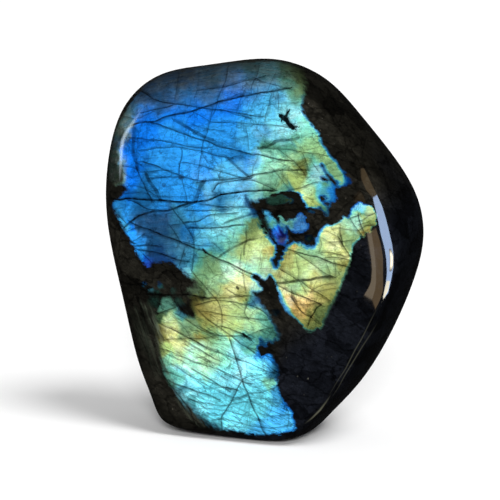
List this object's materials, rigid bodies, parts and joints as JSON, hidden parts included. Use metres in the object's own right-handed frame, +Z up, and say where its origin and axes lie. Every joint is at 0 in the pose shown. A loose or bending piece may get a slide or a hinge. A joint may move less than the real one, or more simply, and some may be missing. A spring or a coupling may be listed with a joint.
{
  "type": "polished labradorite freeform",
  "caption": "Upright polished labradorite freeform with a blue, green and gold play of colour on its broad face, standing on a cut flat base.",
  "frame": {"origin": "on the flat base plane, under the middle of the stone's bounding box", "axes": "+Z up, +X to the right when facing the broad polished face, +Y from that face towards the back"},
  "size_m": [0.1026, 0.0376, 0.1196],
  "materials": {
    "polished_labradorite": "high mirror polish, dark grey to black body with blue, turquoise, green and gold schiller"
  },
  "bodies": {
    "root": {"labradorite_stone": "polished_labradorite"}
  },
  "joints": []
}
